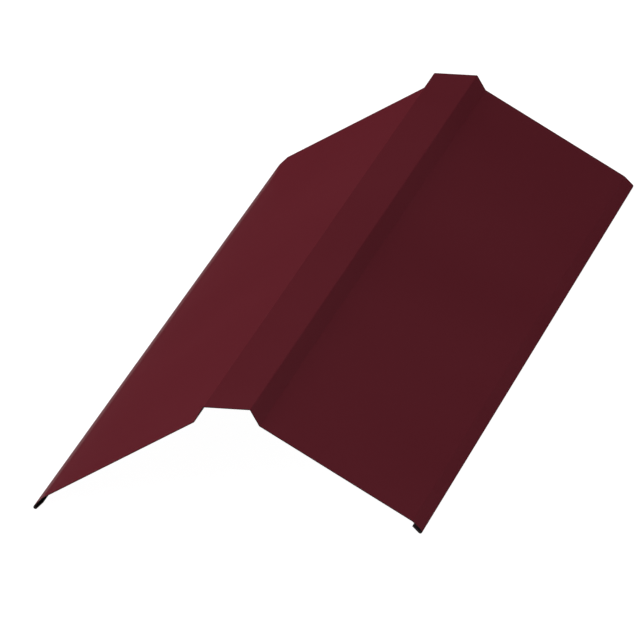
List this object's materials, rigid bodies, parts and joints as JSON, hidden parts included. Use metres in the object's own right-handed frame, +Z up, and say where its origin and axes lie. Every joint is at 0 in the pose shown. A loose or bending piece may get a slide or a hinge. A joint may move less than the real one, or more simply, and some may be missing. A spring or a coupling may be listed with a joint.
{
  "type": "roof ridge cap",
  "caption": "Folded steel sheet ridge cap with a raised flat crown, sloping wings and hemmed drip lips, for covering the joint along the ridge of a pitched roof.",
  "frame": {"origin": "on the floor that the two hems stand on, under the middle of the cap's length and width", "axes": "+Z up; Y along the ridge, the cap's length; X across the ridge, from wing to wing"},
  "size_m": [0.3298, 1, 0.0986],
  "materials": {
    "painted_sheet": "satin"
  },
  "bodies": {
    "root": {"ridge_cap_sheet": "painted_sheet"}
  },
  "joints": []
}
